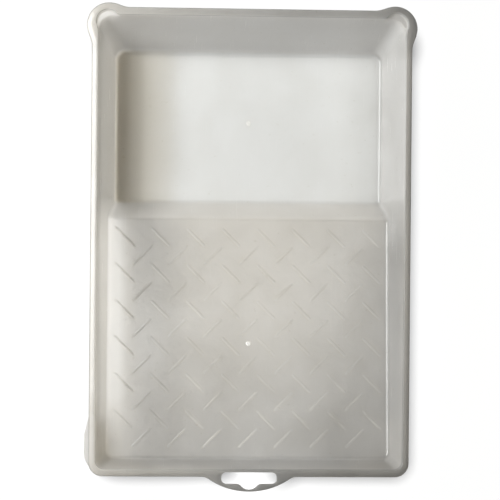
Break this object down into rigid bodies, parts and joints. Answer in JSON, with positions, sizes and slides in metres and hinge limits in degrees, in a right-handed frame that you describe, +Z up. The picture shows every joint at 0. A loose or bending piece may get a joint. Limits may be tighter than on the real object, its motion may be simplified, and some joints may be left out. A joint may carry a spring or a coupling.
{
  "type": "paint roller tray",
  "caption": "Translucent plastic paint roller tray with a deep reservoir, a ribbed ramp, pouring corners, a hanging tab and front corner legs.",
  "frame": {"origin": "bottom centre of the whole tray, on the surface it stands on", "axes": "+Z up, +Y from the hanging tab at the shallow end to the reservoir at the deep end, +X to the right"},
  "size_m": [0.1946, 0.281, 0.048],
  "materials": {
    "moulding": "satin, milky translucent polypropylene"
  },
  "bodies": {
    "root": {"well_floor": "moulding", "well_left_wall": "moulding", "well_right_wall": "moulding", "rear_wall": "moulding", "step_wall": "moulding", "ramp_panel": "moulding", "ramp_ribs": "moulding", "ramp_left_wall": "moulding", "ramp_right_wall": "moulding", "front_wall": "moulding", "rear_rim": "moulding", "left_rim": "moulding", "right_rim": "moulding", "front_left_rim": "moulding", "front_right_rim": "moulding", "left_pouring_spout": "moulding", "right_pouring_spout": "moulding", "hanging_tab": "moulding", "left_front_leg": "moulding", "right_front_leg": "moulding", "rim_gussets": "moulding", "well_gate_mark": "moulding", "ramp_gate_mark": "moulding"}
  },
  "joints": []
}
